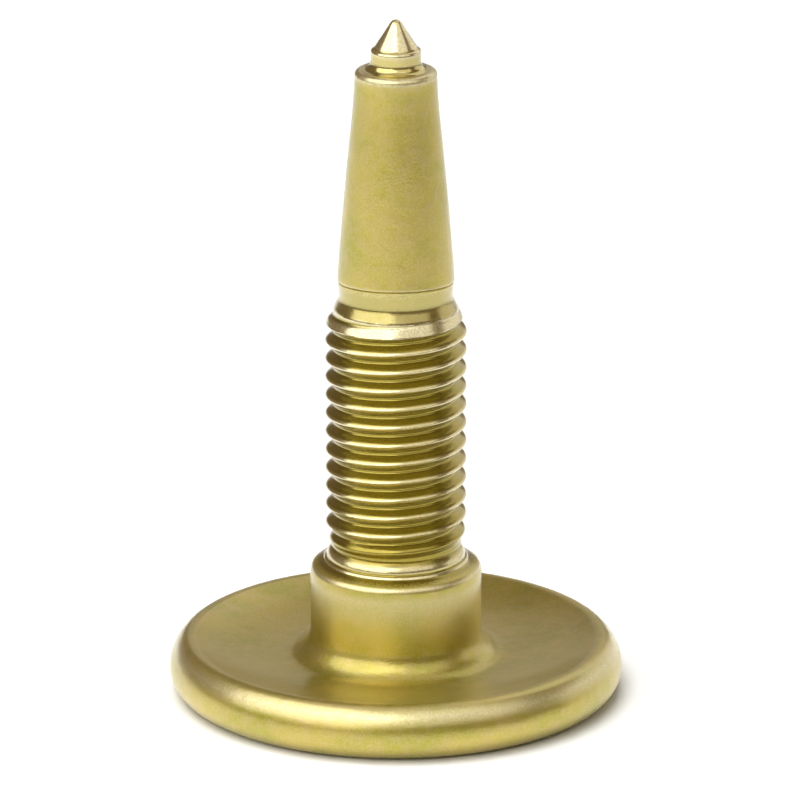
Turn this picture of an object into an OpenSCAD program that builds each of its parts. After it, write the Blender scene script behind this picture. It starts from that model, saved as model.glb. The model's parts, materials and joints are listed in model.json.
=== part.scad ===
// Push-through traction stud: a headed steel body with a rolled thread and a
// tapered nose, and a pointed carbide pin brazed into the end of the nose.
// Millimetres. +Z runs up the axis to the point. The origin is the centre of the
// flat face that the stud rests on.

/* [Flange] */
// Diameter of the round flange, across the bulge of its rim
flange_d = 25.4; // [23:0.1:30]
// Height of the lip between the rim and the dished top
flange_t = 3.15; // [3:0.05:3.4]
// Radius of the rim's bulge above its widest point, seen in section
rim_bulge_r = 2.1; // [1.9:0.05:2.4]
// Height of the rim's widest point, and radius of the round under it
rim_bulge_h = 1.4; // [1.2:0.05:1.6]
// Radius of the rounded lip
lip_round = 0.8; // [0.5:0.05:1]
// How far the top sinks from the lip to the foot of the collar
dish_depth = 0.95; // [0.7:0.05:1.2]
// Radius of the fillet between the dish and the collar
collar_fillet = 1.45; // [1.1:0.05:1.7]

/* [Collar] */
// Diameter of the plain collar that fills the hole in the belt
collar_d = 9.58; // [9:0.01:10.5]
// Height of the top of the collar's straight wall
collar_wall_h = 7.05; // [6.9:0.05:7.1]
// Radius of the collar's rounded top edge
collar_round = 0.5; // [0.3:0.05:0.55]
// Depth of the fine ring groove between the two beads above the collar
collar_ring_depth = 0.03; // [0.01:0.01:0.06]

/* [Thread] */
// Major diameter of the right-hand thread (5/16 in class)
thread_d = 7.9; // [7.8:0.02:8]
// Pitch of the thread (24 turns to the inch)
thread_pitch = 1.0583; // [1:0.0001:1.1]
// Depth from crest to root
thread_depth = 0.56; // [0.5:0.01:0.6]
// Height of the lower end of the thread
thread_lo = 8.7; // [8.6:0.05:9]
// Turns of the thread
thread_turns = 12.9; // [12.7:0.05:12.95]
// Angle at which a crest crosses the lower end
thread_start = 130; // [0:10:350]
// Straight facets in one turn of the thread
thread_facets = 36; // [24:4:48]

/* [Neck and nose] */
// Diameter of the neck at its waist
neck_d = 6.34; // [6.2:0.02:6.4]
// Height of the waist
neck_h = 23.35; // [23.3:0.01:23.4]
// Height of the fine groove under the nose
groove_h = 23.86; // [23.8:0.01:23.9]
// Depth of that groove
groove_depth = 0.09; // [0.04:0.01:0.15]
// Diameter of the nose at its foot
nose_foot_d = 6.5; // [6.4:0.02:6.6]
// Diameter of the nose at its shoulder
nose_top_d = 4.56; // [4.3:0.02:5]
// Height of the flat shoulder that the pin stands in
shoulder_h = 36; // [35.5:0.1:36.5]
// Radius of the shoulder's edge
shoulder_round = 0.26; // [0.1:0.02:0.4]

/* [Carbide pin] */
// Diameter of the pin
pin_d = 2.778; // [2.6:0.001:3]
// Length of pin held inside the nose
pin_held = 3; // [2:0.1:4]
// Height of the pin's straight side above the shoulder
pin_ring_h = 0.96; // [0.7:0.02:1.2]
// Full angle of the point
point_angle = 65; // [58:1:75]
// Radius of the blunted tip
tip_r = 0.36; // [0.1:0.02:0.5]
// Thickness of the braze film round the pin
braze_gap = 0.03; // [0.02:0.01:0.06]
// Height that the braze climbs up the pin
braze_climb = 0.46; // [0.2:0.02:0.6]
// Width of the braze ring on the shoulder
braze_ring_w = 0.52; // [0.3:0.02:0.58]

/* [Hidden] */
$fn = 96;

plating = "#c5b04a";
braze_metal = "#d8c668";

flange_r = flange_d / 2;
collar_r = collar_d / 2;
neck_r = neck_d / 2;
nose_foot_r = nose_foot_d / 2;
nose_top_r = nose_top_d / 2;
pin_r = pin_d / 2;
bore_r = pin_r + braze_gap;
arc_steps = 10;

// The rim is a tight round under its widest point and a slacker one above it, and
// the lip rounds it over into the dish.
base_r = flange_r - rim_bulge_h;
rim_centre = flange_r - rim_bulge_r;
rim_hi_angle = asin((flange_t - lip_round - rim_bulge_h) / (rim_bulge_r - lip_round));
lip_r = rim_centre + (rim_bulge_r - lip_round) * cos(rim_hi_angle);
lip_end_angle = 108;
lip_end_r = lip_r + lip_round * cos(lip_end_angle);
lip_end_h = flange_t - lip_round + lip_round * sin(lip_end_angle);

// The dish is a shallow hollow between the lip and the foot of the collar.
dish_foot_r = collar_r + collar_fillet;
dish_foot_h = flange_t - dish_depth;

// Radii round the rolled thread. The blank is at the pitch line, because rolling
// pushes up as much metal as it presses down.
crest_r = thread_d / 2;
root_r = crest_r - thread_depth;
blank_r = crest_r - thread_depth / 2 - 0.02;
crest_half_steps = round(thread_facets / 18);
root_half_steps = round(thread_facets / 12);
runout_w = 1.5;
lead_in_w = 0.8;
lead_in_slope = 0.28;
lead_in_r = neck_r + 0.3;
turn_step = 360 / thread_facets;
step_h = thread_pitch / thread_facets;
thread_steps = round(thread_turns * thread_facets);
thread_hi = thread_lo + thread_steps * step_h;
stub_h = 0.3;
stub_shown_h = 0.05;

// Above the collar's edge a bevel climbs to two beads, under the thread.
collar_edge_angle = 64;
bead_r = collar_r - 0.79;

// The bore under the pin ends in the cone that a drill leaves.
bore_floor_h = shoulder_h - pin_held - braze_gap;
drill_half_angle = 59;
bore_point_h = bore_floor_h - bore_r / tan(drill_half_angle);

// The pin's point is a cone with a small ball at its end.
cone_half = point_angle / 2;
bevel = 0.04;
cone_foot_r = pin_r - bevel;
cone_foot_h = shoulder_h + pin_ring_h + bevel;
cone_apex_h = cone_foot_h + cone_foot_r / tan(cone_half);
ball_h = cone_apex_h - tip_r / sin(cone_half);

// Points of an arc about [x, y], from angle a0 to a1.
function arc(x, y, r, a0, a1, steps = arc_steps) =
    [for (i = [0:steps]) let (a = a0 + (a1 - a0) * i / steps) [x + r * cos(a), y + r * sin(a)]];

function mix(a, b, t) = a + (b - a) * max(0, min(1, t));

// Height of the dish at radius r, level at the collar and steeper by the lip.
function dish(r) =
    let (share = (r - dish_foot_r) / (lip_end_r - dish_foot_r))
    dish_foot_h + (lip_end_h - dish_foot_h) * pow(share, 1.8);

// Radius of the thread at height z, for a full radius r of crest or root: it
// closes on the blank at the run-out, and follows a chamfer at the lead-in.
function thread_r(r, z) =
    let (low = mix(blank_r, r, (z - thread_lo) / runout_w))
    let (high = mix(r, lead_in_r, (z - thread_hi + lead_in_w) / lead_in_w))
    let (chamfer = lead_in_r + (thread_hi - z) * lead_in_slope)
    z < (thread_lo + thread_hi) / 2 ? low : min(r > blank_r ? r : high, chamfer);

// Section of the lower part: flange, dish, collar and the beads under the thread.
module foot_section() {
    polygon(concat(
        [[0, 0]],
        arc(base_r, rim_bulge_h, rim_bulge_h, -90, 0),
        arc(rim_centre, rim_bulge_h, rim_bulge_r, rim_hi_angle / arc_steps, rim_hi_angle),
        arc(lip_r, flange_t - lip_round, lip_round, rim_hi_angle, lip_end_angle),
        [for (i = [1:arc_steps - 1]) let (r = mix(lip_end_r, dish_foot_r, i / arc_steps)) [r, dish(r)]],
        arc(dish_foot_r, dish_foot_h + collar_fillet, collar_fillet, 270, 180),
        arc(collar_r - collar_round, collar_wall_h, collar_round, 0, collar_edge_angle),
        [
            [bead_r + 0.03, collar_wall_h + 0.68],
            [bead_r, collar_wall_h + 0.76],
            [bead_r - 0.12, collar_wall_h + 0.83],
            [bead_r - 0.12 - collar_ring_depth, collar_wall_h + 0.87],
            [bead_r - 0.12, collar_wall_h + 0.96],
            [bead_r - 0.16, collar_wall_h + 1.1],
            [bead_r - 0.25, collar_wall_h + 1.28],
            [blank_r + 0.03, thread_lo - stub_shown_h],
            [0, thread_lo - stub_shown_h],
        ]
    ));
}

// Section of the upper part: neck, fine groove, tapered nose and shoulder.
module nose_section() {
    polygon([
        [0, thread_hi + stub_shown_h],
        [lead_in_r + 0.03, thread_hi + stub_shown_h],
        [neck_r + 0.225, neck_h - 0.7],
        [neck_r + 0.045, neck_h - 0.3],
        [neck_r + 0.005, neck_h - 0.12],
        [neck_r, neck_h],
        [neck_r + 0.02, neck_h + 0.25],
        [neck_r + 0.03, groove_h - 0.05],
        [neck_r - groove_depth / 2, groove_h],
        [nose_foot_r, groove_h + 0.05],
        [nose_foot_r - 0.02, groove_h + 0.6],
        [nose_top_r + 0.15, shoulder_h - 2.8],
        [nose_top_r + 0.04, shoulder_h - 1.4],
        for (p = arc(nose_top_r - shoulder_round, shoulder_h - shoulder_round, shoulder_round, 0, 90)) p,
        [0, shoulder_h],
    ]);
}

// The threaded shank. Four corners a pitch ride up the helix in whole steps, so
// each turn is stitched to the next. Corners past either end fold onto a plain
// ring there, and a short plain stub below and above is buried in its neighbour.
module threaded_shank() {
    corners = [
        [crest_half_steps, crest_r],
        [thread_facets / 2 - root_half_steps, root_r],
        [thread_facets / 2 + root_half_steps, root_r],
        [thread_facets - crest_half_steps, crest_r],
    ];
    count = len(corners);
    rows = count * (ceil(thread_steps / thread_facets) + 4);
    function level(i, row) = i + corners[row % count][0] + thread_facets * (floor(row / count) - 2);
    function ring(r, z) =
        [for (i = [0:thread_facets - 1]) [r * cos(i * turn_step), r * sin(i * turn_step), z]];
    function on_helix(i, row) =
        let (z = thread_lo + step_h * max(0, min(thread_steps, level(i, row))))
        let (r = thread_r(corners[row % count][1], z))
        [r * cos(i * turn_step), r * sin(i * turn_step), z];
    low_stub = 0;
    low_ring = thread_facets;
    high_ring = 2 * thread_facets;
    high_stub = 3 * thread_facets;
    helix = 4 * thread_facets;
    function at(i, row) =
        level(i, row) <= 0 ? low_ring + i % thread_facets :
        level(i, row) >= thread_steps ? high_ring + i % thread_facets :
        i == thread_facets ? at(0, row + count) :
        helix + i * rows + row;
    function whole(face) = face[0] != face[1] && face[1] != face[2] && face[2] != face[0];
    function band(low, high) = [for (i = [0:thread_facets - 1]) for (half = [0, 1])
        let (next = (i + 1) % thread_facets)
        half == 0 ? [low + i, high + next, low + next] : [low + i, high + i, high + next]];
    flanks = [for (i = [0:thread_facets - 1]) for (row = [0:rows - 2]) for (half = [0, 1])
        half == 0
            ? [at(i, row), at(i + 1, row + 1), at(i + 1, row)]
            : [at(i, row), at(i, row + 1), at(i + 1, row + 1)]];
    polyhedron(
        points = concat(
            ring(blank_r, thread_lo - stub_h),
            ring(blank_r, thread_lo),
            ring(lead_in_r, thread_hi),
            ring(lead_in_r, thread_hi + stub_h),
            [for (i = [0:thread_facets - 1]) for (row = [0:rows - 1]) on_helix(i, row)]
        ),
        faces = concat(
            [for (face = flanks) if (whole(face)) face],
            band(low_stub, low_ring),
            band(high_ring, high_stub),
            [[for (i = [0:thread_facets - 1]) low_stub + i]],
            [[for (i = [0:thread_facets - 1]) high_stub + thread_facets - 1 - i]]
        )
    );
}

module stud_body() {
    color(plating)
    difference() {
        union() {
            rotate_extrude() foot_section();
            rotate([0, 0, thread_start]) threaded_shank();
            rotate_extrude() nose_section();
        }
        rotate_extrude() bore_section();
    }
}

// The drilled blind bore, run out through the shoulder.
module bore_section() {
    polygon([
        [0, bore_point_h],
        [bore_r, bore_floor_h],
        [bore_r, shoulder_h + 1],
        [0, shoulder_h + 1],
    ]);
}

module carbide_pin() {
    color(plating)
    rotate_extrude()
    polygon(concat(
        [
            [0, shoulder_h - pin_held],
            [pin_r - 0.2, shoulder_h - pin_held],
            [pin_r, shoulder_h - pin_held + 0.2],
            [pin_r, shoulder_h + pin_ring_h],
            [cone_foot_r, cone_foot_h],
        ],
        arc(0, ball_h, tip_r, cone_half, 90)
    ));
}

// The braze fills the bore round and under the pin, and climbs out of the joint
// in a hollow ring.
module braze_joint() {
    color(braze_metal)
    rotate_extrude()
    polygon(concat(
        [
            [0, bore_point_h],
            [bore_r, bore_floor_h],
            [bore_r, shoulder_h],
            [pin_r + braze_ring_w, shoulder_h],
        ],
        [for (i = [0:arc_steps]) let (a = 90 * i / arc_steps)
            [
                pin_r + 0.01 + (braze_ring_w - 0.01) * (1 - sin(a)),
                shoulder_h + 0.02 + braze_climb * (1 - cos(a)),
            ]],
        [
            [pin_r, shoulder_h + 0.02 + braze_climb],
            [pin_r, shoulder_h - pin_held + 0.2],
            [pin_r - 0.2, shoulder_h - pin_held],
            [0, shoulder_h - pin_held],
        ]
    ));
}

stud_body();
carbide_pin();
braze_joint();
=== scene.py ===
"""Push-through traction stud: a headed steel body with a rolled thread and a tapered nose, a carbide
point brazed into the nose, and yellow passivated zinc plating over all of it.

Laid out as a Blender add-on and run as a script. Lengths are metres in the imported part's own frame:
+Z up the stud's axis, origin at the centre of the face that it rests on.
"""

import json
import math

import bmesh
import bpy
from mathutils import Euler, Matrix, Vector


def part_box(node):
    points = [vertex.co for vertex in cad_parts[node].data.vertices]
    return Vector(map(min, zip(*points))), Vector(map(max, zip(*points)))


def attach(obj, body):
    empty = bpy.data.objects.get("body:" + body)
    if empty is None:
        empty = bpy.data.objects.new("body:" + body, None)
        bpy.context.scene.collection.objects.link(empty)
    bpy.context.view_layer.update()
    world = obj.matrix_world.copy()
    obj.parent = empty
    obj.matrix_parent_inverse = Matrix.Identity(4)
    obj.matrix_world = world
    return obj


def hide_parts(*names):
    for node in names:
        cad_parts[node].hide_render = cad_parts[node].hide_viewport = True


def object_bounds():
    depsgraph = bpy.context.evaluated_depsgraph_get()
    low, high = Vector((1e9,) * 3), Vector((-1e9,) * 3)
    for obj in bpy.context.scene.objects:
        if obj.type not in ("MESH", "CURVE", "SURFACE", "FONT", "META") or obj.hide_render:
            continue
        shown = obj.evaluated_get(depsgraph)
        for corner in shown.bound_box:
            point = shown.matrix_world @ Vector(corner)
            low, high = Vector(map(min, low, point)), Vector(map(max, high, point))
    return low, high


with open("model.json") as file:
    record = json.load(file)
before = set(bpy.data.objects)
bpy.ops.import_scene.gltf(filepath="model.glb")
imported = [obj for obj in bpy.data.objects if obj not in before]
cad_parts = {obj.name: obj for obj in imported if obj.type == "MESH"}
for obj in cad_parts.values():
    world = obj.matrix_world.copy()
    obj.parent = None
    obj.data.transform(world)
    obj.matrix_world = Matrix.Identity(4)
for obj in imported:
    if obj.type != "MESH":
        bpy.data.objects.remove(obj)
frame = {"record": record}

bl_info = {
    "name": "Traction Stud",
    "version": (1, 0, 0),
    "blender": (4, 5, 0),
    "location": "View3D > Sidebar > Stud",
    "description": "Makes a plated push-through traction stud around its packed CAD frame",
    "category": "Object",
}

MM = 0.001
BODY = "root"
CAD_BOX = [list(corner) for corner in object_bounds()]

# What the frame says: the boxes of the three nodes, and the collar's straight wall.
BODY_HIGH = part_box("stud_body")[1]
PIN_LOW, PIN_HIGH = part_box("carbide_pin")
BRAZE_LOW, BRAZE_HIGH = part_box("braze_joint")
MOUNTS = {mount["name"]: mount for mount in frame["record"]["mounts"]}
COLLAR = MOUNTS["collar"]
COLLAR_R = COLLAR["dims"]["r_mm"] * MM
COLLAR_WALL_H = COLLAR["dims"]["length_mm"] * MM
COLLAR_MID = COLLAR["pos_m"][2]

# Hidden inside the nose: the thickness of the braze film, and the bevel on the pin's lower end.
FILM = 0.03 * MM
PIN_BEVEL = 0.2 * MM

# The fine groove under the nose, and the radius at which the thread's chamfer ends.
GROOVE_H = 23.86 * MM
LEAD_IN_R = 3.47 * MM

SEGMENTS = 160
ARC_STEPS = 12
SHARP_ANGLE = math.radians(32)


# ---------------------------------------------------------------- settings


class StudSizes(bpy.types.PropertyGroup):
    """Sizes of the stud that a user would change."""

    flange_r: bpy.props.FloatProperty(
        name="Flange radius",
        description="Radius across the bulge of the rim",
        default=BODY_HIGH.x,
        unit="LENGTH",
    )
    rim_h: bpy.props.FloatProperty(
        name="Rim height",
        description="Height of the rim's upper crease",
        default=3.15 * MM,
        unit="LENGTH",
    )
    rim_bulge_r: bpy.props.FloatProperty(
        name="Rim bulge radius",
        description="Radius of the rim's bulge, in section",
        default=2.1 * MM,
        unit="LENGTH",
    )
    rim_bulge_h: bpy.props.FloatProperty(
        name="Rim bulge height",
        description="Height of the rim's widest point, and radius of the round under it",
        default=1.4 * MM,
        unit="LENGTH",
    )
    lip_r: bpy.props.FloatProperty(
        name="Lip radius",
        description="Rounding between the rim and the dished top",
        default=0.8 * MM,
        unit="LENGTH",
    )
    dish_depth: bpy.props.FloatProperty(
        name="Dish depth",
        description="How far the flange's top sinks towards the collar",
        default=0.95 * MM,
        unit="LENGTH",
    )
    crest_r: bpy.props.FloatProperty(
        name="Crest radius",
        description="Half the thread's outside diameter",
        default=3.95 * MM,
        unit="LENGTH",
    )
    thread_depth: bpy.props.FloatProperty(
        name="Thread depth",
        description="From crest to root",
        default=0.54 * MM,
        unit="LENGTH",
    )
    pitch: bpy.props.FloatProperty(
        name="Pitch",
        description="Rise of the thread in one turn",
        default=1.0583 * MM,
        unit="LENGTH",
    )
    thread_low: bpy.props.FloatProperty(
        name="Thread's lower end",
        description="Height at which the thread's run-out ends",
        default=8.7 * MM,
        unit="LENGTH",
    )
    turns: bpy.props.FloatProperty(
        name="Turns",
        description="Turns of the thread, run-out and lead-in included",
        default=12.9,
    )
    thread_start: bpy.props.FloatProperty(
        name="Thread start",
        description="Angle at which a crest crosses the thread's lower end",
        default=math.radians(129),
        subtype="ANGLE",
    )
    groove_tilt: bpy.props.FloatProperty(
        name="Groove tilt",
        description="Slope of the fine groove under the nose, up towards the front",
        default=0.09,
    )


class StudFinish(bpy.types.PropertyGroup):
    """Colours and gloss of the stud's plating, with a pale colour that also paints highlights and a dark one
    that paints shade in the thread.
    """

    gold: bpy.props.StringProperty(
        name="Gold",
        description="Commonest colour of the passivated plating, as sRGB hex",
        default="BFAF4F",
    )
    olive: bpy.props.StringProperty(
        name="Olive",
        description="Colour where the passivation film is thickest, as sRGB hex",
        default="ADA53C",
    )
    rose: bpy.props.StringProperty(
        name="Rose",
        description="Colour where the passivation film is thinnest, as sRGB hex",
        default="C6AF6E",
    )
    # Pale colour of worn edges, also laid on as painted highlight.
    wear_and_highlight: bpy.props.StringProperty(
        name="Rubbed",
        description="Colour of edges rubbed bright in the tumbling barrel, as sRGB hex",
        default="E3DAB4",
    )
    # Painted shade: the dark brown laid between the thread's crests.
    painted_root_shade: bpy.props.StringProperty(
        name="Sheltered",
        description="Colour in the thread's roots, where the film dries thick, as sRGB hex",
        default="94841C",
    )
    body_roughness: bpy.props.FloatProperty(
        name="Body roughness",
        description="Roughness of the plating on the blasted steel",
        default=0.31,
        min=0.0,
        max=1.0,
        subtype="FACTOR",
    )
    pin_roughness: bpy.props.FloatProperty(
        name="Point roughness",
        description="Roughness of the plating on the ground carbide",
        default=0.2,
        min=0.0,
        max=1.0,
        subtype="FACTOR",
    )
    braze_roughness: bpy.props.FloatProperty(
        name="Braze roughness",
        description="Roughness of the plating on the flowed braze metal",
        default=0.16,
        min=0.0,
        max=1.0,
        subtype="FACTOR",
    )


class StudStage(bpy.types.PropertyGroup):
    """The floor, the lights and the camera."""

    floor_colour: bpy.props.StringProperty(
        name="Floor colour",
        description="Colour of the paper floor, as sRGB hex",
        default="F4F3F1",
    )
    room_colour: bpy.props.StringProperty(
        name="Room colour",
        description="Colour of the room's walls, as sRGB hex",
        default="F3D3A6",
    )
    room_light: bpy.props.FloatProperty(
        name="Room light",
        description="Brightness of the room behind the lights",
        default=0.24,
    )
    wash_power: bpy.props.FloatProperty(
        name="Floor wash",
        description="Power of the light over the floor, which no metal mirrors",
        default=1.5,
        unit="POWER",
    )
    left_power: bpy.props.FloatProperty(
        name="Left softbox",
        description="Power of the main softbox, to the left of the camera",
        default=3.7,
        unit="POWER",
    )
    right_power: bpy.props.FloatProperty(
        name="Right softbox",
        description="Power of the second softbox, to the right of the camera",
        default=1.05,
        unit="POWER",
    )
    card_power: bpy.props.FloatProperty(
        name="Pale cards",
        description="Power of the pale card overhead, of which the other cards have a share",
        default=3.0,
        unit="POWER",
    )
    camera_back: bpy.props.FloatProperty(
        name="Camera distance",
        description="Distance of the camera from the stud's axis, along the floor",
        default=0.4,
        unit="LENGTH",
    )
    camera_up: bpy.props.FloatProperty(
        name="Camera height",
        description="Height of the camera above the floor",
        default=0.14522,
        unit="LENGTH",
    )
    camera_dip: bpy.props.FloatProperty(
        name="Camera dip",
        description="How far the camera looks down",
        default=math.radians(17.78),
        subtype="ANGLE",
    )
    lens: bpy.props.FloatProperty(
        name="Lens",
        description="Focal length, in millimetres",
        default=339.9,
    )
    camera_shift: bpy.props.FloatProperty(
        name="Camera shift",
        description="Sideways shift of the lens, as a share of the picture's width",
        default=0.0051,
    )


# ---------------------------------------------------------------- nodes and meshes


def add(tree, kind, inputs=None, **settings):
    """Adds a node, with its settings, its numbers and its links."""
    node = tree.nodes.new(kind)
    for name, value in settings.items():
        setattr(node, name, value)
    for key, value in (inputs or {}).items():
        if isinstance(value, bpy.types.NodeSocket):
            tree.links.new(value, node.inputs[key])
        else:
            node.inputs[key].default_value = value
    return node


def linear(hex_colour):
    """An sRGB hex colour as linear RGBA."""
    channels = [int(hex_colour[i : i + 2], 16) / 255 for i in (0, 2, 4)]
    curve = [c / 12.92 if c <= 0.04045 else ((c + 0.055) / 1.055) ** 2.4 for c in channels]
    return (*curve, 1.0)


def arc(x, z, r, start, end, wear_and_highlight=0.0, steps=ARC_STEPS):
    """Points of an arc about (x, z), from angle start to end in degrees, with one value of wear and painted
    highlight.
    """
    angles = [math.radians(start + (end - start) * i / steps) for i in range(steps + 1)]
    return [(x + r * math.cos(a), z + r * math.sin(a), wear_and_highlight) for a in angles]


def stretch(a, b, steps):
    """Points between two outline points, both left out."""
    return [tuple(p + (q - p) * i / steps for p, q in zip(a, b)) for i in range(1, steps)]


def turned(bm, outline, wear_and_highlight_layer, warp=None):
    """Turns an outline of (radius, height, wear and painted highlight) points about +Z into rings of faces.
    """
    rings = []
    for r, z, wear_and_highlight in outline:
        count = 1 if r < 1e-9 else SEGMENTS
        ring = []
        for i in range(count):
            a = 2 * math.pi * i / SEGMENTS
            co = Vector((r * math.cos(a), r * math.sin(a), z))
            vert = bm.verts.new(warp(co) if warp else co)
            vert[wear_and_highlight_layer] = wear_and_highlight
            ring.append(vert)
        rings.append(ring)
    for low, high in zip(rings, rings[1:]):
        for i in range(SEGMENTS):
            j = (i + 1) % SEGMENTS
            corners = [low[i % len(low)], low[j % len(low)], high[j % len(high)], high[i % len(high)]]
            corners = list(dict.fromkeys(corners))
            if len(corners) > 2:
                bm.faces.new(corners)


def finished_piece(name, bm, material):
    """Welds a bmesh's doubles, points its faces outwards and links it as an object."""
    bmesh.ops.remove_doubles(bm, verts=bm.verts, dist=0.001 * MM)
    bmesh.ops.recalc_face_normals(bm, faces=bm.faces)
    mesh = bpy.data.meshes.new(name)
    bm.to_mesh(mesh)
    bm.free()
    mesh.polygons.foreach_set("use_smooth", [True] * len(mesh.polygons))
    mesh.set_sharp_from_angle(angle=SHARP_ANGLE)
    mesh.materials.clear()
    mesh.materials.append(material)
    piece = bpy.data.objects.new(name, mesh)
    bpy.context.collection.objects.link(piece)
    return piece


# ---------------------------------------------------------------- finishes


def plating(name, finish, roughness, grain_depth, pitted):
    """Zinc plating with yellow chromate passivation, on steel, carbide or braze.

    Zinc is a blue-white metal. The chromate film, a fraction of a micron thick, turns it gold, with
    drifts towards olive and rose where the film is thicker or thinner. The blasted steel under it
    gives a satin grain, grain_depth high, and the barrel rubs edges paler. The same pale colour is
    also laid on as painted highlight along chosen bands, and painted shade darkens the thread's
    hollows. The share of the light that comes off the walls of the grain's pits is pitted.
    """
    material = bpy.data.materials.new(name)
    material.use_nodes = True
    tree = material.node_tree
    tree.nodes.clear()
    place = add(tree, "ShaderNodeTexCoord").outputs["Object"]
    in_mm = add(tree, "ShaderNodeMapping", {"Vector": place, "Scale": (1000, 1000, 1000)}).outputs[0]
    wear_and_highlight = add(tree, "ShaderNodeAttribute", attribute_name="wear_and_highlight").outputs["Fac"]
    rolled = add(tree, "ShaderNodeAttribute", attribute_name="rolled").outputs["Fac"]
    smooth = add(
        tree,
        "ShaderNodeMath",
        {0: wear_and_highlight, 1: 0.4, 2: rolled},
        operation="MULTIPLY_ADD",
        use_clamp=True,
    ).outputs[0]

    # Drifts of the film, some 3 mm across, and finer mottling of 0.7 mm.
    drift = add(tree, "ShaderNodeTexNoise", {"Vector": in_mm, "Scale": 0.3, "Detail": 2.0})
    mottle = add(tree, "ShaderNodeTexNoise", {"Vector": in_mm, "Scale": 1.5, "Detail": 1.0})
    # Blast grain: the real grit leaves pits of 0.05 mm, drawn at 0.12 mm so that it shows.
    grain = add(
        tree,
        "ShaderNodeTexNoise",
        {"Vector": in_mm, "Scale": 8.0, "Detail": 2.0, "Roughness": 0.6},
    )

    thick = add(
        tree,
        "ShaderNodeMapRange",
        {"Value": drift.outputs["Fac"], "From Min": 0.42, "From Max": 0.62},
    )
    thin = add(
        tree,
        "ShaderNodeMapRange",
        {"Value": mottle.outputs["Fac"], "From Min": 0.35, "From Max": 0.75, "To Max": 0.5},
    )
    body = add(
        tree,
        "ShaderNodeMix",
        {0: thick.outputs[0], 6: linear(finish.gold), 7: linear(finish.olive)},
        data_type="RGBA",
    )
    tinted = add(
        tree,
        "ShaderNodeMix",
        {0: thin.outputs[0], 6: body.outputs[2], 7: linear(finish.rose)},
        data_type="RGBA",
    )
    # The pale colour takes the high spots of the grain: a little all over, as wear, and most where the
    # wear-and-highlight value is high, on worn edges and on bands of painted highlight.
    reached = add(
        tree,
        "ShaderNodeMapRange",
        {"Value": grain.outputs["Fac"], "From Min": 0.38, "From Max": 0.62, "To Min": 0.6},
    )
    spots = add(
        tree,
        "ShaderNodeMapRange",
        {"Value": grain.outputs["Fac"], "From Min": 0.42, "From Max": 0.62, "To Max": 0.14},
    )
    edges = add(tree, "ShaderNodeMath", {0: wear_and_highlight, 1: reached.outputs[0]}, operation="MULTIPLY")
    pale = add(tree, "ShaderNodeMath", {0: edges.outputs[0], 1: spots.outputs[0]}, operation="MAXIMUM")
    worn_and_highlit = add(
        tree,
        "ShaderNodeMix",
        {0: pale.outputs[0], 6: tinted.outputs[2], 7: linear(finish.wear_and_highlight)},
        data_type="RGBA",
    )

    # Between the crests of the thread the colour is darkened and browned: painted shade in the thread's
    # hollows.
    clear = add(tree, "ShaderNodeMath", {0: 1.0, 1: wear_and_highlight}, operation="SUBTRACT")
    deep = add(tree, "ShaderNodeMath", {0: clear.outputs[0], 1: rolled}, operation="MULTIPLY")
    root_shade_share = add(tree, "ShaderNodeMath", {0: deep.outputs[0], 1: 0.85}, operation="MULTIPLY")
    film = add(
        tree,
        "ShaderNodeMix",
        {0: root_shade_share.outputs[0], 6: worn_and_highlit.outputs[2], 7: linear(finish.painted_root_shade)},
        data_type="RGBA",
    )

    # Roughness wanders with the grain, and falls on the rolled thread.
    grainy = add(
        tree,
        "ShaderNodeMapRange",
        {
            "Value": grain.outputs["Fac"],
            "From Min": 0.3,
            "From Max": 0.7,
            "To Min": roughness * 0.9,
            "To Max": roughness * 1.12,
        },
    )
    smoothed = add(
        tree,
        "ShaderNodeMath",
        {0: rolled, 1: -0.3 * roughness, 2: grainy.outputs[0]},
        operation="MULTIPLY_ADD",
    )
    kept = add(
        tree,
        "ShaderNodeMapRange",
        {"Value": smooth, "To Min": 1.0, "To Max": 0.3},
    )
    # Orange peel under the grain: the plating thickens unevenly over the blasted steel.
    peel = add(
        tree,
        "ShaderNodeBump",
        {"Height": mottle.outputs["Fac"], "Strength": 1.0, "Distance": 1.2 * grain_depth},
    )
    bump = add(
        tree,
        "ShaderNodeBump",
        {
            "Height": grain.outputs["Fac"],
            "Strength": kept.outputs[0],
            "Distance": grain_depth,
            "Normal": peel.outputs[0],
        },
    )
    # The walls of the pits throw their light in a much wider lobe.
    haze = add(
        tree,
        "ShaderNodeBsdfPrincipled",
        {
            "Base Color": film.outputs[2],
            "Roughness": 0.62,
            "Normal": bump.outputs[0],
            "Metallic": 1.0,
        },
    )
    shine = add(
        tree,
        "ShaderNodeBsdfPrincipled",
        {
            "Base Color": film.outputs[2],
            "Roughness": smoothed.outputs[0],
            "Normal": bump.outputs[0],
            "Metallic": 1.0,
            "Coat Weight": 0.9,
            "Coat Roughness": 0.2,
        },
    )
    share = add(tree, "ShaderNodeMath", {0: kept.outputs[0], 1: pitted}, operation="MULTIPLY")
    both = add(
        tree,
        "ShaderNodeMixShader",
        {0: share.outputs[0], 1: shine.outputs[0], 2: haze.outputs[0]},
    )
    add(tree, "ShaderNodeOutputMaterial", {"Surface": both.outputs[0]})
    return material


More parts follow.
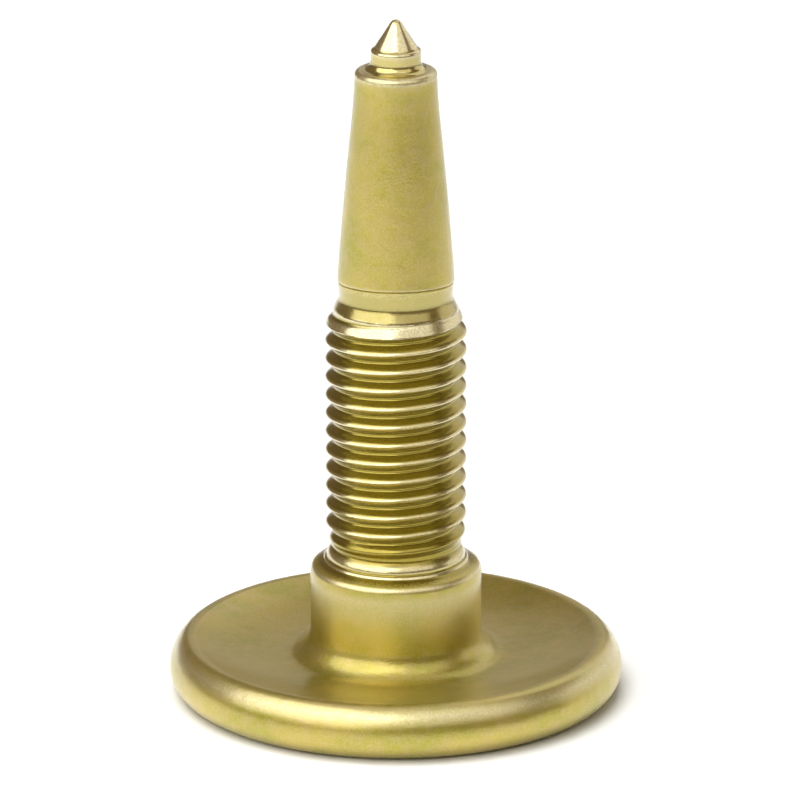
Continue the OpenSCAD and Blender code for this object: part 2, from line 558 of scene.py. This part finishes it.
def paper(name, hex_colour):
    """Matt white background paper: no gloss, and so faint a tooth that it reads as plain."""
    material = bpy.data.materials.new(name)
    material.use_nodes = True
    tree = material.node_tree
    tree.nodes.clear()
    place = add(tree, "ShaderNodeTexCoord").outputs["Object"]
    tooth = add(tree, "ShaderNodeTexNoise", {"Vector": place, "Scale": 900.0})
    bump = add(
        tree,
        "ShaderNodeBump",
        {"Height": tooth.outputs["Fac"], "Strength": 0.1, "Distance": 0.01 * MM},
    )
    shader = add(
        tree,
        "ShaderNodeBsdfPrincipled",
        {
            "Base Color": linear(hex_colour),
            "Roughness": 0.9,
            "Specular IOR Level": 0.1,
            "Normal": bump.outputs[0],
        },
    )
    add(tree, "ShaderNodeOutputMaterial", {"Surface": shader.outputs[0]})
    return material


# ---------------------------------------------------------------- thread


def thread_tree(material):
    """Geometry nodes that roll a ribbon, one pitch wide, up a helix and weld its edges together.

    Across the ribbon the radius follows a 60 degree thread with its crest and root rounded. The
    ribbon is folded flat on a plain ring at each end, and fades to the blank or a chamfer there.
    """
    root_blend = 0.08 * MM
    crest_blend = 0.06 * MM
    ring_length = 0.2 * MM
    weld = 0.0015 * MM
    tree = bpy.data.node_groups.new("Rolled thread", "GeometryNodeTree")
    tree.interface.new_socket("Geometry", in_out="OUTPUT", socket_type="NodeSocketGeometry")
    for name, kind in (
        ("Segments", "Int"),
        ("Rows", "Int"),
        ("Ribbon Turns", "Int"),
        ("Phase", "Float"),
        ("Pitch", "Float"),
        ("Lower End", "Float"),
        ("Upper End", "Float"),
        ("Crest Radius", "Float"),
        ("Root Radius", "Float"),
        ("Blank Radius", "Float"),
        ("Lead-in Radius", "Float"),
        ("Lead-in Slope", "Float"),
        ("Lead-in Length", "Float"),
        ("Run-out Length", "Float"),
        ("Rounding", "Float"),
    ):
        tree.interface.new_socket(name, in_out="INPUT", socket_type=f"NodeSocket{kind}")
    given = add(tree, "NodeGroupInput").outputs

    columns = add(
        tree,
        "ShaderNodeMath",
        {0: given["Segments"], 1: given["Ribbon Turns"], 2: 1.0},
        operation="MULTIPLY_ADD",
    )
    rows = add(tree, "ShaderNodeMath", {0: given["Rows"], 1: 1.0}, operation="ADD")
    ribbon = add(
        tree,
        "GeometryNodeMeshGrid",
        {
            "Size X": 1.0,
            "Size Y": 1.0,
            "Vertices X": columns.outputs[0],
            "Vertices Y": rows.outputs[0],
        },
    )
    place = add(tree, "ShaderNodeSeparateXYZ", {0: add(tree, "GeometryNodeInputPosition").outputs[0]})
    along = add(tree, "ShaderNodeMath", {0: place.outputs["X"], 1: 0.5}, operation="ADD")
    turn = add(
        tree,
        "ShaderNodeMath",
        {0: along.outputs[0], 1: given["Ribbon Turns"]},
        operation="MULTIPLY",
    )
    angle = add(tree, "ShaderNodeMath", {0: turn.outputs[0], 1: 2 * math.pi}, operation="MULTIPLY")

    # Height, folded flat at both ends. The ribbon starts over a turn early, so it covers the ring.
    climbed = add(tree, "ShaderNodeMath", {0: turn.outputs[0], 1: place.outputs["Y"]}, operation="ADD")
    shifted = add(tree, "ShaderNodeMath", {0: climbed.outputs[0], 1: given["Phase"]}, operation="ADD")
    early = add(tree, "ShaderNodeMath", {0: shifted.outputs[0], 1: 2.5}, operation="SUBTRACT")
    free = add(
        tree,
        "ShaderNodeMath",
        {0: early.outputs[0], 1: given["Pitch"], 2: given["Lower End"]},
        operation="MULTIPLY_ADD",
    )
    height = add(
        tree,
        "ShaderNodeClamp",
        {"Value": free.outputs[0], "Min": given["Lower End"], "Max": given["Upper End"]},
    ).outputs[0]

    # Full thread: a straight flank between crest and root, both rounded over.
    middle = add(
        tree,
        "ShaderNodeMix",
        {0: 0.5, 2: given["Crest Radius"], 3: given["Root Radius"]},
    )
    off_crest = add(tree, "ShaderNodeMath", {0: place.outputs["Y"]}, operation="ABSOLUTE")
    toward = add(tree, "ShaderNodeMath", {0: 0.25, 1: off_crest.outputs[0]}, operation="SUBTRACT")
    rise = add(
        tree,
        "ShaderNodeMath",
        {0: given["Pitch"], 1: math.tan(math.radians(60))},
        operation="MULTIPLY",
    )
    flank = add(
        tree,
        "ShaderNodeMath",
        {0: toward.outputs[0], 1: rise.outputs[0], 2: middle.outputs[0]},
        operation="MULTIPLY_ADD",
    )
    rooted = add(
        tree,
        "ShaderNodeMath",
        {0: flank.outputs[0], 1: given["Root Radius"], 2: given["Rounding"]},
        operation="SMOOTH_MAX",
    )
    full = add(
        tree,
        "ShaderNodeMath",
        {0: rooted.outputs[0], 1: given["Crest Radius"], 2: given["Rounding"]},
        operation="SMOOTH_MIN",
    )

    # Run-out: the thread dies into the blank above the collar.
    from_low = add(tree, "ShaderNodeMath", {0: height, 1: given["Lower End"]}, operation="SUBTRACT")
    grown = add(
        tree,
        "ShaderNodeMath",
        {0: from_low.outputs[0], 1: given["Run-out Length"]},
        operation="DIVIDE",
        use_clamp=True,
    )
    low = add(
        tree,
        "ShaderNodeMix",
        {0: grown.outputs[0], 2: given["Blank Radius"], 3: full.outputs[0]},
    )

    # Lead-in: a chamfer cuts the crests down and the roots climb to meet it.
    from_high = add(tree, "ShaderNodeMath", {0: given["Upper End"], 1: height}, operation="SUBTRACT")
    chamfer = add(
        tree,
        "ShaderNodeMath",
        {0: from_high.outputs[0], 1: given["Lead-in Slope"], 2: given["Lead-in Radius"]},
        operation="MULTIPLY_ADD",
    )
    deep = add(
        tree,
        "ShaderNodeMath",
        {0: from_high.outputs[0], 1: given["Lead-in Length"]},
        operation="DIVIDE",
        use_clamp=True,
    )
    floor = add(
        tree,
        "ShaderNodeMix",
        {0: deep.outputs[0], 2: given["Lead-in Radius"], 3: given["Root Radius"]},
    )
    lifted = add(
        tree,
        "ShaderNodeMath",
        {0: low.outputs[0], 1: floor.outputs[0], 2: root_blend},
        operation="SMOOTH_MAX",
    )
    cut = add(
        tree,
        "ShaderNodeMath",
        {0: lifted.outputs[0], 1: chamfer.outputs[0], 2: crest_blend},
        operation="SMOOTH_MIN",
    )
    low_hold = add(
        tree,
        "ShaderNodeMath",
        {0: from_low.outputs[0], 1: 1 / ring_length},
        operation="MULTIPLY",
        use_clamp=True,
    )
    held = add(
        tree,
        "ShaderNodeMix",
        {0: low_hold.outputs[0], 2: given["Blank Radius"], 3: cut.outputs[0]},
    )
    high_hold = add(
        tree,
        "ShaderNodeMath",
        {0: from_high.outputs[0], 1: 1 / ring_length},
        operation="MULTIPLY",
        use_clamp=True,
    )
    radius = add(
        tree,
        "ShaderNodeMix",
        {0: high_hold.outputs[0], 2: given["Lead-in Radius"], 3: held.outputs[0]},
    ).outputs[0]

    across = add(tree, "ShaderNodeMath", {0: angle.outputs[0]}, operation="COSINE")
    ahead = add(tree, "ShaderNodeMath", {0: angle.outputs[0]}, operation="SINE")
    x = add(tree, "ShaderNodeMath", {0: across.outputs[0], 1: radius}, operation="MULTIPLY")
    y = add(tree, "ShaderNodeMath", {0: ahead.outputs[0], 1: radius}, operation="MULTIPLY")
    spot = add(tree, "ShaderNodeCombineXYZ", {"X": x.outputs[0], "Y": y.outputs[0], "Z": height})

    # The wear-and-highlight value is 1 on the crests, the chamfered ones too, and falls to 0 a little way
    # down the flanks: the paler crests are partly wear and partly painted highlight.
    top = add(
        tree,
        "ShaderNodeMath",
        {0: given["Crest Radius"], 1: chamfer.outputs[0]},
        operation="MINIMUM",
    )
    under = add(tree, "ShaderNodeMath", {0: top.outputs[0], 1: radius}, operation="SUBTRACT")
    wear_and_highlight = add(
        tree,
        "ShaderNodeMapRange",
        {
            "Value": under.outputs[0],
            "From Min": 0.13 * MM,
            "From Max": 0.03 * MM,
        },
    )
    marked = add(
        tree,
        "GeometryNodeStoreNamedAttribute",
        {"Geometry": ribbon.outputs["Mesh"], "Name": "wear_and_highlight", "Value": wear_and_highlight.outputs[0]},
        data_type="FLOAT",
        domain="POINT",
    )
    rolled = add(
        tree,
        "GeometryNodeSetPosition",
        {"Geometry": marked.outputs[0], "Position": spot.outputs[0]},
    )
    welded = add(
        tree,
        "GeometryNodeMergeByDistance",
        {"Geometry": rolled.outputs[0], "Distance": weld},
    )
    real = add(tree, "GeometryNodeRealizeInstances", {"Geometry": welded.outputs[0]})
    dressed = add(tree, "GeometryNodeSetMaterial", {"Geometry": real.outputs[0], "Material": material})
    add(tree, "NodeGroupOutput", {0: dressed.outputs[0]})
    return tree


def rolled_thread(sizes, material, low, high, blank_r):
    """The thread as a plain mesh, open at a ring of SEGMENTS corners at each end."""
    tree = thread_tree(material)
    shank = bpy.data.objects.new("thread blank", bpy.data.meshes.new("thread blank"))
    bpy.context.collection.objects.link(shank)
    modifier = shank.modifiers.new("Rolled thread", "NODES")
    modifier.node_group = tree
    values = {
        "Segments": SEGMENTS,
        "Rows": 24,
        "Ribbon Turns": math.ceil(sizes.turns) + 5,
        "Phase": (-sizes.thread_start / (2 * math.pi) - 0.5) % 1.0,
        "Pitch": sizes.pitch,
        "Lower End": low,
        "Upper End": high,
        "Crest Radius": sizes.crest_r,
        "Root Radius": sizes.crest_r - sizes.thread_depth,
        "Blank Radius": blank_r,
        "Lead-in Radius": LEAD_IN_R,
        "Lead-in Slope": 0.5,
        "Lead-in Length": 0.8 * MM,
        "Run-out Length": 0.9 * MM,
        "Rounding": 0.42 * MM,
    }
    for item in tree.interface.items_tree:
        if item.item_type == "SOCKET" and item.in_out == "INPUT":
            modifier[item.identifier] = values[item.name]
    evaluated = shank.evaluated_get(bpy.context.evaluated_depsgraph_get())
    mesh = bpy.data.meshes.new_from_object(evaluated)
    shank.modifiers.clear()
    bpy.data.objects.remove(shank)
    return mesh


# ---------------------------------------------------------------- outlines


def foot_outline(sizes, blank_r, thread_low):
    """Half section from the middle of the underside up to the thread: flange, dish and collar."""
    bulge_x = sizes.flange_r - sizes.rim_bulge_r
    low_r = sizes.flange_r - sizes.rim_bulge_h
    inner = sizes.rim_bulge_r - sizes.lip_r
    lip_h = sizes.rim_h - sizes.lip_r
    lip_angle = math.asin((lip_h - sizes.rim_bulge_h) / inner)
    lip_x = bulge_x + inner * math.cos(lip_angle)
    collar_low = COLLAR_MID - COLLAR_WALL_H / 2
    collar_high = COLLAR_MID + COLLAR_WALL_H / 2
    dish_h = sizes.rim_h - sizes.dish_depth
    fillet = collar_low - dish_h
    foot_r = COLLAR_R + fillet
    lip_end_angle = 108
    lip_highlight_height = 0.84
    dish_power = 1.8
    dish_steps = 30
    points = [(0.0, 0.0, 0.0)]
    points += stretch((0.0, 0.0, 0.0), (low_r, 0.0, 0.0), 14)
    # A round underneath, the bulge of the rim, and the lip, with a pale band of painted highlight where the
    # lip catches the light.
    rim = arc(low_r, sizes.rim_bulge_h, sizes.rim_bulge_h, -90, 0, steps=14)
    rim += arc(bulge_x, sizes.rim_bulge_h, sizes.rim_bulge_r, 0, math.degrees(lip_angle), steps=16)[1:-1]
    rim += arc(lip_x, lip_h, sizes.lip_r, math.degrees(lip_angle), lip_end_angle, steps=16)
    lip_end_r, lip_end_h, _ = rim[-1]
    points += [(r, z, max(0.0, 0.8 - abs(z / sizes.rim_h - lip_highlight_height) * 4)) for r, z, _ in rim]
    # The dish leaves the lip in line with it, and is level where it meets the collar's fillet.
    for i in range(1, dish_steps + 1):
        share = 1 - i / dish_steps
        fall = (lip_end_h - dish_h) * share**dish_power
        points.append((foot_r + (lip_end_r - foot_r) * share, dish_h + fall, 0.0))
    points += arc(foot_r, dish_h + fillet, fillet, 270, 180)[1:]
    # The collar's wall grows paler towards its top: painted highlight.
    points += stretch((COLLAR_R, collar_low, 0.0), (COLLAR_R, collar_high, 0.5), 8)
    # A rounded edge, paler in its middle, a sloping face, and two beads that swell into the thread's
    # run-out; the pale colour on the edge and the beads is partly wear and partly painted highlight.
    edge_r = 0.5 * MM
    edge = arc(COLLAR_R - edge_r, collar_high, edge_r, 0, 64)
    points += [(r, z, max(0.0, 1 - abs(i / ARC_STEPS - 0.5) * 2.6)) for i, (r, z, _) in enumerate(edge)]
    # Each as millimetres in from the collar's side and up from its straight wall, and how pale, with wear
    # and painted highlight.
    slope = ((0.56, 0.6, 0.0), (0.72, 0.665, 0.2))
    low_bead = ((0.76, 0.7, 0.9), (0.79, 0.76, 1.0), (0.85, 0.81, 0.6), (0.91, 0.83, 0.0), (0.93, 0.87, 0.0))
    high_bead = ((0.91, 0.96, 0.6), (0.94, 1.07, 0.9), (1.0, 1.2, 0.9), (1.09, 1.32, 0.6), (1.19, 1.4, 0.2))
    gutter = ((1.24, 1.47, 0.0), (1.22, 1.54, 0.0))
    for inset, rise, wear_and_highlight in slope + low_bead + high_bead + gutter:
        points.append((COLLAR_R - inset * MM, collar_high + rise * MM, wear_and_highlight))
    points += [
        (blank_r - 0.01 * MM, thread_low - 0.05 * MM, 0.1),
        (blank_r, thread_low, 0.1),
    ]
    return points


def nose_outline(thread_high):
    """Half section from the thread up over the nose, and down the bore to its drill point."""
    shoulder_h = BODY_HIGH.z
    neck_r = 3.17 * MM
    neck_h = 23.2 * MM
    nose_foot_r = 3.25 * MM
    nose_top_r = 2.28 * MM
    edge_r = 0.32 * MM
    barrelled = 0.035 * MM
    neck_highlight = 0.45
    # A sloping flare from the thread's end, and a neck that is waisted by a few hundredths; both are painted
    # pale as painted highlight.
    flare_low = (neck_r + 0.225 * MM, neck_h - 0.7 * MM, neck_highlight)
    flare_high = (neck_r + 0.045 * MM, neck_h - 0.3 * MM, neck_highlight)
    points = [(LEAD_IN_R, thread_high, 0.6), flare_low, *stretch(flare_low, flare_high, 4), flare_high]
    points += [
        (neck_r + 0.015 * MM, neck_h - 0.2 * MM, neck_highlight),
        (neck_r + 0.002 * MM, neck_h - 0.1 * MM, neck_highlight),
        (neck_r, neck_h, neck_highlight),
        (neck_r + 0.01 * MM, neck_h + 0.18 * MM, neck_highlight),
        (neck_r + 0.03 * MM, neck_h + 0.36 * MM, neck_highlight),
    ]
    # The fine groove, and the nose's foot above it.
    points += [
        (neck_r + 0.03 * MM, GROOVE_H - 0.05 * MM, 0.4),
        (neck_r - 0.02 * MM, GROOVE_H - 0.02 * MM, 0.0),
        (neck_r - 0.045 * MM, GROOVE_H, 0.0),
        (neck_r - 0.01 * MM, GROOVE_H + 0.025 * MM, 0.0),
        (nose_foot_r - 0.03 * MM, GROOVE_H + 0.04 * MM, 0.5),
        (nose_foot_r, GROOVE_H + 0.08 * MM, 0.8),
        (nose_foot_r - 0.01 * MM, GROOVE_H + 0.3 * MM, 0.1),
    ]
    # The taper is barrelled by a few hundredths of a millimetre.
    taper_low = (nose_foot_r - 0.025 * MM, GROOVE_H + 0.6 * MM, 0.0)
    taper_high = (nose_top_r + 0.16 * MM, shoulder_h - 2.8 * MM, 0.0)
    taper_h = taper_high[1] - taper_low[1]
    points += [taper_low]
    for r, z, wear_and_highlight in stretch(taper_low, taper_high, 12):
        points.append((r + barrelled * math.sin(math.pi * (z - taper_low[1]) / taper_h), z, wear_and_highlight))
    points += [
        taper_high,
        (nose_top_r + 0.1 * MM, shoulder_h - 2.2 * MM, 0.0),
        (nose_top_r + 0.055 * MM, shoulder_h - 1.6 * MM, 0.0),
        (nose_top_r + 0.02 * MM, shoulder_h - 0.9 * MM, 0.0),
        (nose_top_r, shoulder_h - 0.5 * MM, 0.2),
    ]
    points += arc(nose_top_r - edge_r, shoulder_h - edge_r, edge_r, 0, 90, wear_and_highlight=0.9, steps=8)
    points += [
        (PIN_HIGH.x + 0.3 * MM, shoulder_h, 0.4),
        (PIN_HIGH.x + FILM, shoulder_h, 0.0),
        (PIN_HIGH.x + FILM, PIN_LOW.z - FILM, 0.0),
        (0.0, BRAZE_LOW.z, 0.0),
    ]
    return points


# ---------------------------------------------------------------- operators


class STUD_OT_headed_body(bpy.types.Operator):
    """Make the headed steel body: flange, collar, rolled thread, neck, nose and blind bore"""

    bl_idname = "stud.headed_body"
    bl_label = "Headed body"

    def execute(self, context):
        sizes = context.scene.stud_sizes
        finish = context.scene.stud_finish
        name = "Yellow passivated zinc on blasted steel"
        material = plating(name, finish, finish.body_roughness, 0.014 * MM, 0.26)
        blank_r = sizes.crest_r - sizes.thread_depth / 2 - 0.02 * MM
        low = sizes.thread_low
        high = low + sizes.turns * sizes.pitch
        # The rolling dies press the blank smooth a little past both ends of the thread.
        dies_low = low - 1.1 * MM
        dies_high = 23.8 * MM
        lean_reach = 0.6 * MM
        thread = rolled_thread(sizes, material, low, high, blank_r)
        bm = bmesh.new()
        bm.from_mesh(thread)
        bpy.data.meshes.remove(thread)
        wear_and_highlight = bm.verts.layers.float.get("wear_and_highlight") or bm.verts.layers.float.new("wear_and_highlight")

        def leaning(co):
            near = max(0.0, 1 - abs(co.z - GROOVE_H) / lean_reach)
            return co + Vector((0, 0, -co.y * sizes.groove_tilt * near))

        turned(bm, foot_outline(sizes, blank_r, low), wear_and_highlight)
        turned(bm, nose_outline(high), wear_and_highlight, leaning)
        rolled = bm.verts.layers.float.new("rolled")
        for vert in bm.verts:
            vert[rolled] = float(dies_low < vert.co.z < dies_high)
        piece = finished_piece("headed_steel_body", bm, material)
        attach(piece, BODY)
        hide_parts("stud_body")
        return {"FINISHED"}


class STUD_OT_carbide_point(bpy.types.Operator):
    """Make the ground carbide pin: shank, straight side, bevel, cone and blunted tip"""

    bl_idname = "stud.carbide_point"
    bl_label = "Carbide point"

    def execute(self, context):
        finish = context.scene.stud_finish
        name = "Yellow passivated zinc on ground carbide"
        material = plating(name, finish, finish.pin_roughness, 0.0015 * MM, 0.12)
        pin_r = PIN_HIGH.x
        shoulder_h = BODY_HIGH.z
        half = math.radians(32.5)
        apex_h = shoulder_h + 3.118 * MM
        ball_r = (apex_h - PIN_HIGH.z) / (1 / math.sin(half) - 1)
        ball_h = PIN_HIGH.z - ball_r
        lip_r = 0.19 * MM
        ring_h = shoulder_h + 1.0 * MM
        foot_h = ring_h + 0.2 * MM
        foot_r = (apex_h - foot_h) * math.tan(half)
        outline = [
            (0.0, PIN_LOW.z, 0.0),
            (pin_r - PIN_BEVEL, PIN_LOW.z, 0.0),
            (pin_r, PIN_LOW.z + PIN_BEVEL, 0.0),
            (pin_r, shoulder_h, 0.3),
            (pin_r, ring_h - 0.2 * MM, 0.3),
        ]
        # The cone is ground a little inside the rounded end of the straight side.
        # The rounded lip and the cone are painted pale: partly wear, partly painted highlight.
        outline += arc(pin_r - lip_r, ring_h, lip_r, 0, 62, wear_and_highlight=0.9, steps=8)
        outline += [(foot_r, foot_h, 0.3)]
        ball = arc(0, ball_h, ball_r, math.degrees(half), 90, wear_and_highlight=0.7, steps=10)
        outline += stretch((foot_r, foot_h, 1.0), (ball[0][0], ball[0][1], 1.0), 12)
        outline += ball[:-1] + [(0.0, PIN_HIGH.z, 0.7)]
        bm = bmesh.new()
        wear_and_highlight = bm.verts.layers.float.new("wear_and_highlight")
        turned(bm, outline, wear_and_highlight)
        piece = finished_piece("ground_carbide_point", bm, material)
        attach(piece, BODY)
        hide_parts("carbide_pin")
        return {"FINISHED"}


class STUD_OT_braze(bpy.types.Operator):
    """Make the braze: the film round and under the pin, and the hollow ring at its foot"""

    bl_idname = "stud.braze"
    bl_label = "Braze"

    def execute(self, context):
        finish = context.scene.stud_finish
        name = "Yellow passivated zinc on flowed braze"
        material = plating(name, finish, finish.braze_roughness, 0.001 * MM, 0.05)
        pin_r = PIN_HIGH.x
        shoulder_h = BODY_HIGH.z
        bore_r = pin_r + FILM
        ring_w = BRAZE_HIGH.x - pin_r
        climb = BRAZE_HIGH.z - shoulder_h
        toe = 0.02 * MM
        outline = [
            (0.0, BRAZE_LOW.z, 0.0),
            (bore_r, PIN_LOW.z - FILM, 0.0),
            (bore_r, shoulder_h, 0.0),
            (pin_r + ring_w, shoulder_h, 0.3),
        ]
        for i in range(ARC_STEPS + 1):
            a = math.pi / 2 * i / ARC_STEPS
            r = pin_r + ring_w - (ring_w - 0.01 * MM) * math.sin(a)
            outline.append((r, shoulder_h + toe + (climb - toe) * (1 - math.cos(a)), 0.3))
        outline += [
            (pin_r, shoulder_h + climb, 0.3),
            (pin_r, PIN_LOW.z + PIN_BEVEL, 0.0),
            (pin_r - PIN_BEVEL, PIN_LOW.z, 0.0),
            (0.0, PIN_LOW.z, 0.0),
        ]
        bm = bmesh.new()
        wear_and_highlight = bm.verts.layers.float.new("wear_and_highlight")
        turned(bm, outline, wear_and_highlight)
        piece = finished_piece("braze_ring", bm, material)
        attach(piece, BODY)
        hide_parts("braze_joint")
        return {"FINISHED"}


def softbox(name, azimuth, elevation, distance, width, height, power, aim):
    """A rectangular area light that faces a point. Azimuth 0 is over the camera, and + is right."""
    data = bpy.data.lights.new(name, "AREA")
    data.shape = "RECTANGLE"
    data.size = width
    data.size_y = height
    data.energy = power
    a = math.radians(azimuth)
    e = math.radians(elevation)
    spot = aim + distance * Vector((math.sin(a) * math.cos(e), -math.cos(a) * math.cos(e), math.sin(e)))
    light = bpy.data.objects.new(name, data)
    light.location = spot
    light.rotation_euler = (aim - spot).to_track_quat("-Z", "Y").to_euler()
    bpy.context.collection.objects.link(light)
    return light


class STUD_OT_stage(bpy.types.Operator):
    """Make the paper floor, the room, the softboxes and the camera"""

    bl_idname = "stud.stage"
    bl_label = "Floor, lights and camera"

    def execute(self, context):
        stage = context.scene.stud_stage
        reach = 2.5
        bm = bmesh.new()
        bmesh.ops.create_grid(bm, x_segments=8, y_segments=8, size=reach)
        mesh = bpy.data.meshes.new("paper_floor")
        bm.to_mesh(mesh)
        bm.free()
        mesh.materials.append(paper("White background paper", stage.floor_colour))
        floor = bpy.data.objects.new("paper_floor", mesh)
        context.collection.objects.link(floor)

        # The room is dim where the metal mirrors it, and pale where the camera sees it past the floor.
        world = bpy.data.worlds.new("Studio")
        world.use_nodes = True
        tree = world.node_tree
        tree.nodes.clear()
        seen = add(tree, "ShaderNodeLightPath").outputs["Is Camera Ray"]
        dim = add(
            tree,
            "ShaderNodeBackground",
            {"Color": linear(stage.room_colour), "Strength": stage.room_light},
        )
        pale = add(tree, "ShaderNodeBackground", {"Color": linear("FFFFFF"), "Strength": 0.95})
        both = add(tree, "ShaderNodeMixShader", {0: seen, 1: dim.outputs[0], 2: pale.outputs[0]})
        add(tree, "ShaderNodeOutputWorld", {"Surface": both.outputs[0]})
        world.cycles_visibility.diffuse = False
        context.scene.world = world

        middle = Vector((0, 0, CAD_BOX[1][2] / 2))
        wash = softbox("floor wash", 200, 86, 0.36, 0.34, 0.34, stage.wash_power, Vector((-0.05, 0.0, 0)))
        wash.visible_glossy = False
        boxes = (
            softbox("left softbox", -52, 41, 0.6, 0.95, 0.62, stage.left_power, middle),
            softbox("right softbox", 30, 45, 0.6, 0.85, 0.46, stage.right_power, middle),
            softbox("right card", 126, 14, 1.2, 1.5, 0.7, stage.card_power * 0.85, middle),
            softbox("back card", 178, 20, 1.2, 0.6, 0.6, stage.card_power / 8, middle),
            softbox("high card", 150, 44, 1.2, 0.7, 0.7, stage.card_power / 2.6, middle),
            softbox("ceiling card", 0, 88, 1.2, 1.3, 1.3, stage.card_power, middle),
        )
        for card in boxes[2:]:
            card.visible_diffuse = False

        data = bpy.data.cameras.new("camera")
        data.sensor_width = 36.0
        data.lens = stage.lens
        data.shift_x = stage.camera_shift
        data.clip_start = 0.01
        data.clip_end = 20.0
        camera = bpy.data.objects.new("camera", data)
        camera.location = (0, -stage.camera_back, stage.camera_up)
        camera.rotation_euler = Euler((math.pi / 2 - stage.camera_dip, 0, 0))
        context.collection.objects.link(camera)
        context.scene.camera = camera
        context.scene.view_settings.view_transform = "Standard"
        return {"FINISHED"}


class STUD_PT_panel(bpy.types.Panel):
    """Buttons that make the stud and its stage"""

    bl_idname = "STUD_PT_panel"
    bl_label = "Traction Stud"
    bl_space_type = "VIEW_3D"
    bl_region_type = "UI"
    bl_category = "Stud"

    def draw(self, context):
        for operator in OPERATORS:
            self.layout.operator(operator.bl_idname)
        for group in (context.scene.stud_sizes, context.scene.stud_finish, context.scene.stud_stage):
            box = self.layout.box()
            for name in group.__annotations__:
                box.prop(group, name)


OPERATORS = (STUD_OT_headed_body, STUD_OT_carbide_point, STUD_OT_braze, STUD_OT_stage)
CLASSES = (StudSizes, StudFinish, StudStage, *OPERATORS, STUD_PT_panel)


def register():
    for cls in CLASSES:
        bpy.utils.register_class(cls)
    bpy.types.Scene.stud_sizes = bpy.props.PointerProperty(type=StudSizes)
    bpy.types.Scene.stud_finish = bpy.props.PointerProperty(type=StudFinish)
    bpy.types.Scene.stud_stage = bpy.props.PointerProperty(type=StudStage)


def unregister():
    del bpy.types.Scene.stud_stage
    del bpy.types.Scene.stud_finish
    del bpy.types.Scene.stud_sizes
    for cls in reversed(CLASSES):
        bpy.utils.unregister_class(cls)


def main():
    register()
    bpy.ops.stud.headed_body()
    bpy.ops.stud.carbide_point()
    bpy.ops.stud.braze()
    bpy.ops.stud.stage()


if __name__ == "__main__":
    main()
